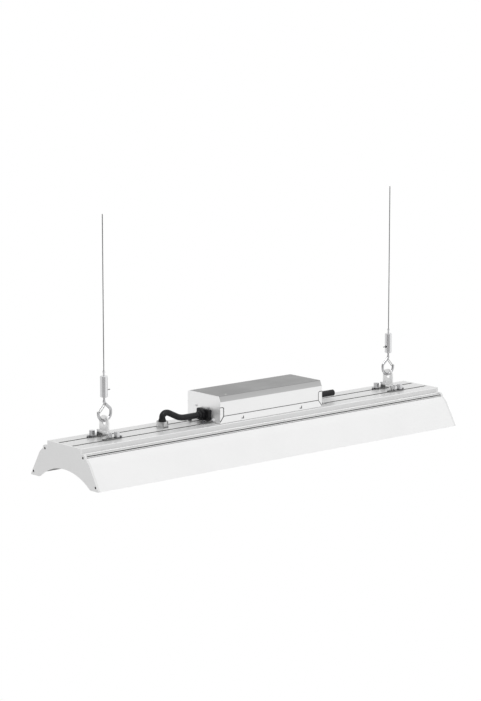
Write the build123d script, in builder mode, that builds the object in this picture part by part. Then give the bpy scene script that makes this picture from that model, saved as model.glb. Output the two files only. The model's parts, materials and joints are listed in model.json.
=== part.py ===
from build123d import *
import os
from math import atan2, cos, degrees, radians, sin, sqrt

# Linear high bay light: an extruded body with a slotted top, two flared wings, two end caps,
# a driver box joined to the body by a short flex, and two wire suspensions.
# X runs along the light, +Z is up, and the origin is at the bottom centre.

# Overall sizes, in mm
LENGTH = 1200.0            # over the end caps
HEIGHT = 94.0              # wing tips to the top of the body
TOP_WIDTH = 130.0          # width of the body's top
TIP_WIDTH = 268.0          # width over the wing tips

# Clearances
SLIDE_GAP = 0.1            # each side of a sheet or lens in its groove
PIN_GAP = 0.05             # radial, a turning or sliding pin in its hole
BOLT_GAP = 0.3             # radial, a bolt in its clearance hole
SEAT_GAP = 0.3             # between pieces that nearly touch

# Body extrusion
BODY_WALL = 2.8
TOP_PLATE = 3.2
LED_PLATE_Z = 51.5         # underside of the plate that carries the boards
LED_PLATE_T = 3.5
SKIRT_Z = 44.0             # lower edge of the side walls
LENS_GROOVE_Z = 45.2
LENS_GROOVE_DEPTH = 1.4
WEB_T = 1.6
WEB_Y = 8.6                # webs beside the centre line
FIN_HEIGHT = 17.0
FIN_PLACES = (16.0, 26.5, 37.0, 47.5, 56.0)

# Slots along the top
SLOT_Y = 26.2
SLOT_MOUTH = 6.8
SLOT_LIP = 2.6
SLOT_WIDTH = 11.6
SLOT_DEPTH = 5.4
SLOT_WALL = 1.8

# Rail at each side of the body, with an open screw port and the groove for the wing
LEDGE_Z = 82.0
LEDGE_WIDTH = 6.8
PORT_Y = 75.0
PORT_Z = 73.5
PORT_HOLE_R = 2.1
PORT_R = 5.4
PORT_MOUTH = 2.4
PORT_MOUTH_ANGLE = 35.0
GROOVE_Z = 65.0
GROOVE_ROOT_Y = 73.0
LIP_T = 2.6
LIP_Y = 80.0

# Wings
WING_T = 2.0
WING_SHOULDER_OUT = 15.0   # from the upright lip to the shoulder's foot
SHOULDER_Z = 57.5
WING_TOP_Y = 84.5
WING_TOP_Z = 72.0
TONGUE_T = 2.4
TONGUE_GAP = 1.4           # between the rail and the wing's upright lip
WING_PORT_IN = 4.8         # port's centre to the wing's outer face
WING_PORT_Z = 9.7
WING_PORT_R = 4.2

# End caps and their screws
CAP_T = 6.0
EAR_R = 8.6
ARCH_HEIGHT = 34.0
ARCH_FOOT = 32.5           # flat foot beside the arch
TIP_FILLET = 1.5
SCREW_R = 2.0
SCREW_HEAD_R = 4.2
SCREW_HEAD_H = 2.6
SCREW_LENGTH = 16.0
SCREW_KEY = 3.2            # across flats of the key recess

# Boards and lenses
BOARD_T = 1.6
BOARD_WIDTH = 112.0
BOARD_COUNT = 2
BOARD_GAP = 6.0
LED_SIZE = 3.2
LED_H = 0.7
LED_ROWS = (-36.0, 0.0, 36.0)
LED_COLUMNS = 16
LENS_T = 1.8
LENS_RIB_HALF = 13.0
LENS_RIB_DROP = 5.0
BOARD_SCREW_R = 1.5
BOARD_SCREW_HEAD_R = 2.8
BOARD_SCREW_HEAD_H = 1.9
BOARD_SCREW_COLUMNS = 3
BOARD_SCREW_Y = 18.0

# Driver box, with each name that ends in UP a rise above the body's top, here and below
BOX_X0 = -161.0
BOX_X1 = 182.5
BOX_FRONT = -60.0
BOX_BACK = 65.0
BOX_TOP_UP = 69.0
BOX_T = 1.2
BOX_SEAM_Z_UP = 18.5         # where the cover meets the tray
BOX_FACET_Z_UP = 55.0        # foot of the slanted facet along the front
BOX_FACET_DEPTH = 6.5
BOX_BACK_FILLET = 6.0
BOX_TAB_WIDTH = 12.0
BOX_TAB_TOP_UP = 41.0
BOX_TAB_CORNER_R = 3.0
BOX_GAP = 0.9              # open joint round a tab and along the seam
LANCE_PLACES = (-84.0, 112.0)
LANCE_Z_UP = 6.5
LANCE_HEIGHT = 5.0
LANCE_REACH = 6.5
LANCE_SLIT = 1.2
FOOT_LENGTH = 36.0
FOOT_WIDTH = 26.0
FOOT_BOLT_X = 26.0         # bolt to the box's end
END_SCREW_R = 1.5
END_SCREW_HEAD_R = 2.6
END_SCREW_HEAD_H = 1.8
END_SCREW_LENGTH = 6.0
END_SCREW_SPOTS = ((31.0, 35.2), (-16.0, 36.0))
EARTH_R = 2.0
EARTH_AF = 8.0
EARTH_H = 4.0
EARTH_SPOT = (-32.5, 7.0)
DRIVER_SIZE = (236.0, 60.0, 38.0)
TERMINAL_SIZE = (46.0, 34.0, 24.0)

# Cable entries at the two ends of the box
ENTRY_Y = -3.0
ENTRY_Z_UP = 18.0
ENTRY_WIDTH = 48.0
ENTRY_HEIGHT = 28.0
ENTRY_T = 9.0
ENTRY_FILLET = 4.0
COLLAR_R = 13.2
COLLAR_LENGTH = 9.0
DOME_R = 10.6
DOME_LENGTH = 7.0
RIB_COUNT = 12
RIB_R = 0.9
HUB_R = 10.3
CABLE_R = 7.7
INLET_R = 8.15
INLET_END_X = 274.5
INLET_WALL = 1.5
INLET_SOCKET = 22.0
INLET_PIN_R = 1.0
INLET_PIN_LENGTH = 14.0
INLET_PIN_PCD = 6.4
INLET_PIN_COUNT = 3

# Gland on top of the body
GLAND_X = -297.0
GLAND_BASE_AF = 28.0
GLAND_BASE_H = 5.0
GLAND_NUT_AF = 28.0
GLAND_NUT_H = 12.7
GLAND_SEAL_T = 1.8
GLAND_SEAL_RISE = 6.0      # rubber collar above the nut

# Short flex between the two glands, from the box to the body: a list chosen by hand
FLEX_ROUTE = [(-172.0, -3.0, 112.0), (-242.0, -3.0, 112.0), (-280.0, -0.9, 130.8),
              (-297.0, 0.0, 130.8), (-297.0, 0.0, 90.0)]
FLEX_RADII = [60.0, 22.0, 11.0]

# Suspension, at two places along the light
HANG_INSET = 123.0         # from the light's end
BRACKET_T = 2.5
BRACKET_FOOT = (46.0, 16.5)
BRACKET_NECK = 16.0
BRACKET_RISE_UP = 16.0       # top of the raised middle
TAB_WIDTH = 36.0
TAB_T = 3.0
TAB_TOP_UP = 56.0
TAB_HOLE_R = 7.3
SLOT_BOLT_R = 3.0
SLOT_BOLT_X = 17.5         # out from the rope, to one side on each foot
SLOT_BOLT_TOP_UP = 17.0
SLOT_HEAD_H = 4.4
NUT_AF = 13.0
NUT_H = 14.5
NUT_FLANGE_R = 7.9
NUT_FLANGE_H = 1.4
SLOT_SCREW_X = 2.0         # the other way
SLOT_SCREW_R = 2.5
SLOT_SCREW_HEAD_R = 4.25
SLOT_SCREW_HEAD_H = 2.6
STOP_X = 30.0              # slot stop beyond each foot
STOP_R = 3.0
STOP_TOP_UP = 7.0
FOOT_BOLT_R = 2.5
FOOT_BOLT_TOP_UP = 10.0
FOOT_NUT_AF = 8.0
FOOT_NUT_H = 4.7
FOOT_NUT_FLANGE_R = 5.2

# Snap hook
HOOK_WIDE = 3.8            # half the bar's width in the hook's plane
HOOK_THICK = 2.6           # half its thickness
HOOK_BEND = 18.9
HOOK_CENTRE_OUT = 1.0
HOOK_CENTRE_UP = 61.2
HOOK_TIP_Z_UP = 66.0
HOOK_ELBOW_Z_UP = 69.5
HOOK_NECK_Z_UP = 86.5
HOOK_COLLAR = 5.0
HOOK_SHANK_R = 2.5
HOOK_SHANK_TOP_UP = 109.0
GATE_PIVOT_X = 3.0
GATE_END_IN = 15.2
GATE_END_UP = 63.4
GATE_R = 0.9
GATE_CORNER_R = 1.1
GATE_SPLIT = 0.4           # between the two wire ends inside the hook

# Wire gripper
GRIP_R = 9.35
GRIP_Z0_UP = 100.0
GRIP_Z1_UP = 152.0
GRIP_CHAMFER = 1.2
GRIP_BORE_R = 4.7
GRIP_BORE_Z_UP = 130.0
GRIP_CAP_R = 6.4
GRIP_CAP_T = 3.0
NOZZLE_RISE = 12.5         # above the gripper's body
NOZZLE_R = 3.5
NOZZLE_H = 4.0
NOZZLE_NECK_R = 2.5
NOZZLE_HEAD_H = 6.5
SPRING_TURNS = 5
SPRING_WIRE_R = 0.45
SPRING_R = 3.2
ROPE_R = 1.3
ROPE_GAP = 0.35            # radial, the rope in the nozzle
ROPE_TOP_UP = 543.0
ROPE_EXIT_Z_UP = 117.0
ROPE_BEND = 7.0
ROPE_TAIL_X = 18.0
EXIT_SPOT_R = 3.3
EXIT_SPOT_DEPTH = 1.6

# Values worked out from those above
BODY_LENGTH = LENGTH - 2 * CAP_T
HALF_TOP = TOP_WIDTH / 2
HALF_TIP = TIP_WIDTH / 2
SLOT_FLOOR_Z = HEIGHT - SLOT_LIP - SLOT_DEPTH
LED_BOARD_Z = LED_PLATE_Z - BOARD_T
TONGUE_Z = GROOVE_Z + SLIDE_GAP
LENS_Z = LENS_GROOVE_Z + SLIDE_GAP
GROOVE_HEIGHT = TONGUE_T + 2 * SLIDE_GAP
HEX_RATIO = 1 / cos(radians(30))
SHOULDER_Y = WING_TOP_Y + WING_SHOULDER_OUT
WING_SLOPE = (HALF_TIP - SHOULDER_Y) / SHOULDER_Z
WING_PORT_Y = HALF_TIP - WING_SLOPE * WING_PORT_Z - WING_PORT_IN * sqrt(1 + WING_SLOPE ** 2)
ARCH_HALF = HALF_TIP - ARCH_FOOT
HANG_X = LENGTH / 2 - HANG_INSET
NOZZLE_BORE_R = ROPE_R + ROPE_GAP
EXIT_HOLE_R = ROPE_R + 2 * ROPE_GAP
BODY_START = Plane.YZ.offset(-BODY_LENGTH / 2)

# Heights of what stands on the body, each from its rise above the body's top
BOX_TOP = HEIGHT + BOX_TOP_UP
BOX_SEAM_Z = HEIGHT + BOX_SEAM_Z_UP
BOX_FACET_Z = HEIGHT + BOX_FACET_Z_UP
BOX_TAB_TOP = HEIGHT + BOX_TAB_TOP_UP
LANCE_Z = HEIGHT + LANCE_Z_UP
ENTRY_Z = HEIGHT + ENTRY_Z_UP
BRACKET_RISE = HEIGHT + BRACKET_RISE_UP
TAB_TOP = HEIGHT + TAB_TOP_UP
SLOT_BOLT_TOP = HEIGHT + SLOT_BOLT_TOP_UP
STOP_TOP = HEIGHT + STOP_TOP_UP
FOOT_BOLT_TOP = HEIGHT + FOOT_BOLT_TOP_UP
HOOK_TIP_Z = HEIGHT + HOOK_TIP_Z_UP
HOOK_ELBOW_Z = HEIGHT + HOOK_ELBOW_Z_UP
HOOK_NECK_Z = HEIGHT + HOOK_NECK_Z_UP
HOOK_SHANK_TOP = HEIGHT + HOOK_SHANK_TOP_UP
GRIP_Z0 = HEIGHT + GRIP_Z0_UP
GRIP_Z1 = HEIGHT + GRIP_Z1_UP
GRIP_BORE_Z = HEIGHT + GRIP_BORE_Z_UP
ROPE_TOP = HEIGHT + ROPE_TOP_UP
ROPE_EXIT_Z = HEIGHT + ROPE_EXIT_Z_UP
HOOK_CENTRE = (HOOK_CENTRE_OUT, HEIGHT + HOOK_CENTRE_UP)
GATE_END = (-GATE_END_IN, HEIGHT + GATE_END_UP)
END_SCREW_PLACES = [(y, HEIGHT + up) for y, up in END_SCREW_SPOTS]
EARTH_PLACE = (EARTH_SPOT[0], HEIGHT + EARTH_SPOT[1])
NOZZLE_TOP = GRIP_Z1 + NOZZLE_RISE


def write(part, name):
    """Label a finished piece and write its STEP file."""
    part.label = name
    export_step(part, f"parts/{name}.step")


def side_plane(place, turn):
    """The upright XZ plane through a suspension, seen from its own front."""
    return Plane(origin=(place, 0, 0), x_dir=(turn, 0, 0), z_dir=(0, -turn, 0))


def cap_outline():
    """Half of the end cap's outline, on the +Y side, as a list of edges."""
    shoulder = (SHOULDER_Y, SHOULDER_Z)
    Line((0, HEIGHT), (HALF_TOP, HEIGHT))
    Line((HALF_TOP, HEIGHT), (HALF_TOP, PORT_Z + EAR_R))
    Line((HALF_TOP, PORT_Z + EAR_R), (PORT_Y, PORT_Z + EAR_R))
    ear = CenterArc((PORT_Y, PORT_Z), EAR_R, 90, -90)
    Line(ear @ 1, (WING_TOP_Y, WING_TOP_Z))
    slant = Line((HALF_TIP, 0), shoulder)
    TangentArc(shoulder, (WING_TOP_Y, WING_TOP_Z), tangent=slant % 1)
    Line((HALF_TIP, 0), (ARCH_HALF, 0))
    ThreePointArc((ARCH_HALF, 0), arch_point(ARCH_HALF / 2), (0, ARCH_HEIGHT))
    Line((0, ARCH_HEIGHT), (0, HEIGHT))


def arch_point(y):
    """A point of the arch under the light, at a distance from the centre line."""
    radius = (ARCH_HALF ** 2 + ARCH_HEIGHT ** 2) / (2 * ARCH_HEIGHT)
    return (y, ARCH_HEIGHT - radius + sqrt(radius ** 2 - y ** 2))


def tab_outline(x, turn):
    """Outline of the tab folded from an end plate, in the plane of the box's front or back."""
    inner = x + turn * BOX_TAB_WIDTH
    run = Polyline((x, plate_z0 + 3), (inner, BOX_SEAM_Z), (inner, BOX_TAB_TOP - BOX_TAB_CORNER_R))
    TangentArc(run @ 1, (inner - turn * BOX_TAB_CORNER_R, BOX_TAB_TOP), tangent=(0, 1))
    Polyline((inner - turn * BOX_TAB_CORNER_R, BOX_TAB_TOP), (x, BOX_TAB_TOP), (x, plate_z0 + 3))


os.makedirs("parts", exist_ok=True)


# Body extrusion
with BuildPart() as heat_sink_body:
    with BuildSketch(BODY_START):
        with Locations((0, (HEIGHT + SKIRT_Z) / 2)):
            Rectangle(TOP_WIDTH, HEIGHT - SKIRT_Z)
        inside = TOP_WIDTH - 2 * BODY_WALL
        chamber_z0 = LED_PLATE_Z + LED_PLATE_T
        chamber_z1 = HEIGHT - TOP_PLATE
        with Locations((0, (chamber_z0 + chamber_z1) / 2)):
            Rectangle(inside, chamber_z1 - chamber_z0, mode=Mode.SUBTRACT)
        with Locations((0, (SKIRT_Z + LED_PLATE_Z) / 2)):
            Rectangle(inside, LED_PLATE_Z - SKIRT_Z, mode=Mode.SUBTRACT)
        groove_width = inside + 2 * LENS_GROOVE_DEPTH
        groove_height = LENS_T + 2 * SLIDE_GAP
        with Locations((0, LENS_GROOVE_Z + groove_height / 2)):
            Rectangle(groove_width, groove_height, mode=Mode.SUBTRACT)
        # Webs and fins inside the body
        with Locations([(s * WEB_Y, (chamber_z0 + chamber_z1) / 2) for s in (-1, 1)]):
            Rectangle(WEB_T, chamber_z1 - chamber_z0)
        with Locations([(s * y, chamber_z0 + FIN_HEIGHT / 2) for s in (-1, 1) for y in FIN_PLACES]):
            Rectangle(WEB_T, FIN_HEIGHT)
        # Slot channels hung under the top
        with Locations([(s * SLOT_Y, (SLOT_FLOOR_Z - SLOT_WALL + HEIGHT) / 2) for s in (-1, 1)]):
            Rectangle(SLOT_WIDTH + 2 * SLOT_WALL, HEIGHT - SLOT_FLOOR_Z + SLOT_WALL)
        with Locations([(s * SLOT_Y, SLOT_FLOOR_Z + SLOT_DEPTH / 2) for s in (-1, 1)]):
            Rectangle(SLOT_WIDTH, SLOT_DEPTH, mode=Mode.SUBTRACT)
        with Locations([(s * SLOT_Y, HEIGHT - SLOT_LIP / 2) for s in (-1, 1)]):
            Rectangle(SLOT_MOUTH, SLOT_LIP, mode=Mode.SUBTRACT)
        # Rails down both sides
        ledge_y = HALF_TOP + LEDGE_WIDTH
        groove_top = GROOVE_Z + GROOVE_HEIGHT
        rail = [(HALF_TOP - 1, LEDGE_Z), (ledge_y - 1, LEDGE_Z), (ledge_y, LEDGE_Z - 1),
                (ledge_y, PORT_Z), (PORT_Y + PORT_R - 1.4, PORT_Z),
                (PORT_Y + PORT_R - 1.4, groove_top), (GROOVE_ROOT_Y, groove_top),
                (GROOVE_ROOT_Y, GROOVE_Z), (LIP_Y, GROOVE_Z), (LIP_Y, GROOVE_Z - LIP_T),
                (HALF_TOP - 1, GROOVE_Z - LIP_T)]
        for s in (-1, 1):
            with BuildLine():
                Polyline([(s * y, z) for y, z in rail], close=True)
            make_face()
            with Locations((s * PORT_Y, PORT_Z)):
                Circle(PORT_R)
        for s in (-1, 1):
            with Locations((s * PORT_Y, PORT_Z)):
                Circle(PORT_HOLE_R, mode=Mode.SUBTRACT)
            reach = PORT_R + 2
            middle = (s * (PORT_Y + reach / 2 * cos(radians(PORT_MOUTH_ANGLE))),
                      PORT_Z + reach / 2 * sin(radians(PORT_MOUTH_ANGLE)))
            with Locations(Location(middle, s * PORT_MOUTH_ANGLE)):
                Rectangle(reach, PORT_MOUTH, mode=Mode.SUBTRACT)
    extrude(amount=BODY_LENGTH)
    # Hole in the top for the flex
    with Locations(Plane((GLAND_X, 0, HEIGHT))):
        Hole(HUB_R - 1, TOP_PLATE)
write(heat_sink_body.part, "heat_sink_body")


# Wings: a thin extrusion that slides into the rail, with a screw port near its tip
for name, s in (("wing_front", -1), ("wing_back", 1)):
    with BuildPart() as wing:
        with BuildSketch(BODY_START):
            shoulder = (s * SHOULDER_Y, SHOULDER_Z)
            with BuildLine():
                slant = Line((s * HALF_TIP, 0), shoulder)
                shoulder_arc = TangentArc(shoulder, (s * WING_TOP_Y, WING_TOP_Z), tangent=slant % 1)
                inner_side = Side.LEFT if s > 0 else Side.RIGHT
                offset(amount=WING_T, side=inner_side)
            make_face()
            lip_y = LIP_Y + TONGUE_GAP
            root = [(GROOVE_ROOT_Y + 0.4, TONGUE_Z), (GROOVE_ROOT_Y + 0.4, TONGUE_Z + TONGUE_T),
                    (lip_y, TONGUE_Z + TONGUE_T), (lip_y, WING_TOP_Z - 0.4),
                    (lip_y + 1, WING_TOP_Z + 0.8), (WING_TOP_Y, WING_TOP_Z),
                    (WING_TOP_Y + 3, WING_TOP_Z - 3), (WING_TOP_Y, TONGUE_Z)]
            with BuildLine():
                Polyline([(s * y, z) for y, z in root], close=True)
            make_face()
            with Locations((s * WING_PORT_Y, WING_PORT_Z)):
                Circle(WING_PORT_R)
                Circle(PORT_HOLE_R, mode=Mode.SUBTRACT)
            # Trim the tip level with the caps
            with Locations((s * HALF_TIP, -10)):
                Rectangle(TIP_WIDTH / 2, 20, mode=Mode.SUBTRACT)
        extrude(amount=BODY_LENGTH)
    write(wing.part, name)


# End caps
screw_places = [(s * y, z) for s in (-1, 1) for y, z in ((PORT_Y, PORT_Z), (WING_PORT_Y, WING_PORT_Z))]
for name, turn in (("end_cap_left", -1), ("end_cap_right", 1)):
    outer = Plane(origin=(turn * LENGTH / 2, 0, 0), x_dir=(0, turn, 0), z_dir=(turn, 0, 0))
    with BuildPart() as end_cap:
        with BuildSketch(outer):
            with BuildLine():
                cap_outline()
            make_face()
            mirror(about=Plane.YZ)
            corners = [v for v in vertices() if abs(v.Y) < 0.01 and abs(abs(v.X) - HALF_TIP) < 0.01]
            fillet(corners, TIP_FILLET)
        extrude(amount=-CAP_T)
        with Locations([outer.location * Location((y, z, 0)) for y, z in screw_places]):
            CounterBoreHole(SCREW_R + BOLT_GAP, SCREW_HEAD_R + BOLT_GAP, SCREW_HEAD_H, CAP_T)
    write(end_cap.part, name)

# Screws that hold the caps: a pan head with a hex key recess, as one group
with BuildPart() as end_cap_screws:
    for turn in (-1, 1):
        head = Plane(origin=(turn * LENGTH / 2, 0, 0), x_dir=(0, turn, 0), z_dir=(turn, 0, 0))
        under_head = head.offset(-SCREW_HEAD_H)
        with BuildSketch(under_head):
            with Locations(screw_places):
                Circle(SCREW_HEAD_R)
        extrude(amount=SCREW_HEAD_H)
        with BuildSketch(under_head):
            with Locations(screw_places):
                Circle(SCREW_R)
        extrude(amount=-SCREW_LENGTH)
        with BuildSketch(head):
            with Locations(screw_places):
                RegularPolygon(SCREW_KEY / 2, 6, major_radius=False)
        extrude(amount=-SCREW_HEAD_H * 0.7, mode=Mode.SUBTRACT)
write(end_cap_screws.part, "end_cap_screws")


# Boards with their light packages, end to end under the plate
board_length = (BODY_LENGTH - (BOARD_COUNT + 1) * BOARD_GAP) / BOARD_COUNT
led_pitch = board_length / LED_COLUMNS
board_places = [(-1, "left"), (1, "right")]
board_screw_pitch = board_length / BOARD_SCREW_COLUMNS
for s, side in board_places:
    board_x = s * (board_length + BOARD_GAP) / 2
    with BuildPart() as led_board:
        with BuildSketch(Plane((board_x, 0, LED_BOARD_Z))):
            Rectangle(board_length, BOARD_WIDTH)
            with GridLocations(board_screw_pitch, 2 * BOARD_SCREW_Y, BOARD_SCREW_COLUMNS, 2):
                Circle(BOARD_SCREW_R + BOLT_GAP, mode=Mode.SUBTRACT)
        extrude(amount=BOARD_T)
        with BuildSketch(Plane((board_x, 0, LED_BOARD_Z))):
            for row in LED_ROWS:
                with Locations((0, row)):
                    with GridLocations(led_pitch, 1, LED_COLUMNS, 1):
                        Rectangle(LED_SIZE, LED_SIZE)
        extrude(amount=-LED_H)
    write(led_board.part, f"led_board_{side}")

with BuildPart() as board_screws:
    for s, side in board_places:
        board_x = s * (board_length + BOARD_GAP) / 2
        with BuildSketch(Plane((board_x, 0, LED_BOARD_Z))):
            with GridLocations(board_screw_pitch, 2 * BOARD_SCREW_Y, BOARD_SCREW_COLUMNS, 2):
                Circle(BOARD_SCREW_HEAD_R)
        extrude(amount=-BOARD_SCREW_HEAD_H)
        with BuildSketch(Plane((board_x, 0, LED_BOARD_Z))):
            with GridLocations(board_screw_pitch, 2 * BOARD_SCREW_Y, BOARD_SCREW_COLUMNS, 2):
                Circle(BOARD_SCREW_R)
        extrude(amount=BOARD_T)
write(board_screws.part, "board_screws")

# Clear lenses with a convex rib under each row
lens_length = BODY_LENGTH / BOARD_COUNT - SEAT_GAP / 2
lens_width = TOP_WIDTH - 2 * BODY_WALL + 2 * (LENS_GROOVE_DEPTH - SEAT_GAP)
for s, side in board_places:
    lens_start = -BODY_LENGTH / 2 if s < 0 else BODY_LENGTH / 2 - lens_length
    with BuildPart() as lens:
        with BuildSketch(Plane.YZ.offset(lens_start)):
            with Locations((0, LENS_Z + LENS_T / 2)):
                Rectangle(lens_width, LENS_T)
            for row in LED_ROWS:
                with BuildLine():
                    base = Line((row - LENS_RIB_HALF, LENS_Z), (row + LENS_RIB_HALF, LENS_Z))
                    ThreePointArc(base @ 1, (row, LENS_Z - LENS_RIB_DROP), base @ 0)
                make_face()
        extrude(amount=lens_length)
    write(lens.part, f"lens_{side}")


# Driver box: tray with four feet, cover, end plates
box_length = BOX_X1 - BOX_X0
box_mid_x = (BOX_X0 + BOX_X1) / 2
box_mid_y = (BOX_FRONT + BOX_BACK) / 2
box_width = BOX_BACK - BOX_FRONT
foot_places = [(x, s * SLOT_Y) for x in (BOX_X0 - FOOT_BOLT_X, BOX_X1 + FOOT_BOLT_X) for s in (-1, 1)]
inner_length = box_length - 2 * BOX_T
plate_z0 = HEIGHT + BOX_T + SLIDE_GAP
plate_ends = [(BOX_X0, 1), (BOX_X1, -1)]
tab_faces = [BOX_FRONT, BOX_BACK - BOX_T]
with BuildPart() as driver_box_tray:
    with BuildSketch(Plane.XY.offset(HEIGHT)):
        with Locations((box_mid_x, box_mid_y)):
            Rectangle(inner_length, box_width)
        for s in (-1, 1):
            with Locations((box_mid_x, s * SLOT_Y)):
                Rectangle(box_length + 2 * FOOT_LENGTH, FOOT_WIDTH)
    extrude(amount=BOX_T)
    with BuildSketch(Plane.XY.offset(HEIGHT)):
        for y in (BOX_FRONT + BOX_T / 2, BOX_BACK - BOX_T / 2):
            with Locations((box_mid_x, y)):
                Rectangle(inner_length, BOX_T)
    extrude(amount=BOX_SEAM_Z - HEIGHT)
    with Locations([(x, y, HEIGHT + BOX_T) for x, y in foot_places]):
        Hole(FOOT_BOLT_R + BOLT_GAP)
    # Lanced slits in the front upstand
    with BuildSketch(Plane.XZ.offset(-BOX_FRONT)):
        for x in LANCE_PLACES:
            with Locations((x, LANCE_Z + LANCE_HEIGHT / 2)):
                Rectangle(LANCE_SLIT, LANCE_HEIGHT)
            with Locations((x - LANCE_REACH / 2 + LANCE_SLIT / 2, LANCE_Z)):
                Rectangle(LANCE_REACH, LANCE_SLIT)
    extrude(amount=-BOX_T, mode=Mode.SUBTRACT)
    # Notches round the tabs of the end plates
    for y in tab_faces:
        with BuildSketch(Plane.XZ.offset(-y)):
            for x, turn in plate_ends:
                with BuildLine():
                    tab_outline(x, turn)
                make_face()
            offset(amount=BOX_GAP)
        extrude(amount=-BOX_T, mode=Mode.SUBTRACT)
write(driver_box_tray.part, "driver_box_tray")

# The box's section as the cover follows it
facet = (BOX_FRONT + BOX_FACET_DEPTH, BOX_TOP)
with BuildPart() as driver_box_cover:
    with BuildSketch(Plane.YZ.offset(BOX_X0 + BOX_T)):
        with BuildLine():
            run = Polyline((BOX_FRONT, BOX_SEAM_Z + BOX_GAP), (BOX_FRONT, BOX_FACET_Z), facet,
                           (BOX_BACK - BOX_BACK_FILLET, BOX_TOP))
            RadiusArc(run @ 1, (BOX_BACK, BOX_TOP - BOX_BACK_FILLET), BOX_BACK_FILLET)
            Line((BOX_BACK, BOX_TOP - BOX_BACK_FILLET), (BOX_BACK, BOX_SEAM_Z + BOX_GAP))
            offset(amount=BOX_T, side=Side.RIGHT)
        make_face()
    extrude(amount=inner_length)
    for y in tab_faces:
        with BuildSketch(Plane.XZ.offset(-y)):
            for x, turn in plate_ends:
                with BuildLine():
                    tab_outline(x, turn)
                make_face()
            offset(amount=BOX_GAP)
        extrude(amount=-BOX_T, mode=Mode.SUBTRACT)
write(driver_box_cover.part, "driver_box_cover")

# End plates, each with a tab folded into the front face and one into the back face
for name, (x, turn) in (("box_end_left", plate_ends[0]), ("box_end_right", plate_ends[1])):
    with BuildPart() as box_end:
        with BuildSketch(Plane.YZ.offset(x)):
            with BuildLine():
                run = Polyline((BOX_FRONT, plate_z0), (BOX_FRONT, BOX_FACET_Z), facet,
                               (BOX_BACK - BOX_BACK_FILLET, BOX_TOP))
                RadiusArc(run @ 1, (BOX_BACK, BOX_TOP - BOX_BACK_FILLET), BOX_BACK_FILLET)
                Polyline((BOX_BACK, BOX_TOP - BOX_BACK_FILLET), (BOX_BACK, plate_z0),
                         (BOX_FRONT, plate_z0))
            make_face()
            with Locations((ENTRY_Y, ENTRY_Z)):
                Circle(HUB_R + BOLT_GAP, mode=Mode.SUBTRACT)
            with Locations(END_SCREW_PLACES):
                Circle(END_SCREW_R + BOLT_GAP, mode=Mode.SUBTRACT)
            if turn > 0:
                with Locations(EARTH_PLACE):
                    Circle(EARTH_R + BOLT_GAP, mode=Mode.SUBTRACT)
        extrude(amount=turn * BOX_T)
        for y in tab_faces:
            with BuildSketch(Plane.XZ.offset(-y)):
                with BuildLine():
                    tab_outline(x, turn)
                make_face()
            extrude(amount=-BOX_T)
    write(box_end.part, name)

# Screws through the end plates, and the earth screw beside the flex
with BuildPart() as box_end_screws:
    for x, turn in plate_ends:
        with BuildSketch(Plane.YZ.offset(x)):
            with Locations(END_SCREW_PLACES):
                Circle(END_SCREW_HEAD_R)
        extrude(amount=-turn * END_SCREW_HEAD_H)
        with BuildSketch(Plane.YZ.offset(x)):
            with Locations(END_SCREW_PLACES):
                Circle(END_SCREW_R)
        extrude(amount=turn * END_SCREW_LENGTH)
write(box_end_screws.part, "box_end_screws")

with BuildPart() as earth_screw:
    with BuildSketch(Plane.YZ.offset(BOX_X0)):
        with Locations(EARTH_PLACE):
            RegularPolygon(EARTH_AF / 2, 6, major_radius=False)
    extrude(amount=-EARTH_H)
    with BuildSketch(Plane.YZ.offset(BOX_X0)):
        with Locations(EARTH_PLACE):
            Circle(EARTH_R)
    extrude(amount=END_SCREW_LENGTH)
write(earth_screw.part, "earth_screw")

# Driver and terminal block inside the box
floor_z = HEIGHT + BOX_T
with BuildPart() as led_driver:
    with Locations((box_mid_x, box_mid_y, floor_z + DRIVER_SIZE[2] / 2)):
        Box(*DRIVER_SIZE)
    fillet(led_driver.edges().filter_by(Axis.X), 2)
write(led_driver.part, "led_driver")

with BuildPart() as terminal_block:
    with Locations((BOX_X1 - BOX_T - 28, BOX_BACK - 30, floor_z + TERMINAL_SIZE[2] / 2)):
        Box(*TERMINAL_SIZE)
    chamfer(terminal_block.edges().filter_by(Axis.Y).group_by(Axis.Z)[-1], 4)
write(terminal_block.part, "terminal_block")


# Cable entries: a moulded block with a hub through the end plate, and a ribbed gland nut
for name, x, turn, bore in (("link_entry", BOX_X0, -1, CABLE_R), ("inlet_entry", BOX_X1, 1, INLET_R)):
    face = Plane(origin=(x, ENTRY_Y, ENTRY_Z), x_dir=(0, turn, 0), z_dir=(turn, 0, 0))
    with BuildPart() as entry_block:
        with BuildSketch(face):
            RectangleRounded(ENTRY_WIDTH, ENTRY_HEIGHT, ENTRY_FILLET)
        extrude(amount=ENTRY_T)
        with BuildSketch(face.offset(-BOX_T - 4)):
            Circle(HUB_R)
        extrude(amount=BOX_T + 4)
        chamfer(entry_block.faces().sort_by(Axis(face.origin, face.z_dir))[-1].edges(), 1)
        with BuildSketch(face.offset(ENTRY_T)):
            Circle(bore + PIN_GAP)
        extrude(amount=-ENTRY_T - BOX_T - 4, mode=Mode.SUBTRACT)
    write(entry_block.part, f"{name}_block")
    with BuildPart() as entry_nut:
        with BuildSketch(face.offset(ENTRY_T)):
            Circle(COLLAR_R)
            with PolarLocations(COLLAR_R, RIB_COUNT):
                Circle(RIB_R)
        extrude(amount=COLLAR_LENGTH)
        with BuildSketch(face.offset(ENTRY_T + COLLAR_LENGTH)):
            Circle(DOME_R)
        extrude(amount=DOME_LENGTH, taper=8)
        with BuildSketch(face.offset(ENTRY_T)):
            Circle(bore + PIN_GAP)
        extrude(amount=COLLAR_LENGTH + DOME_LENGTH, mode=Mode.SUBTRACT)
    write(entry_nut.part, f"{name}_nut")

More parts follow.
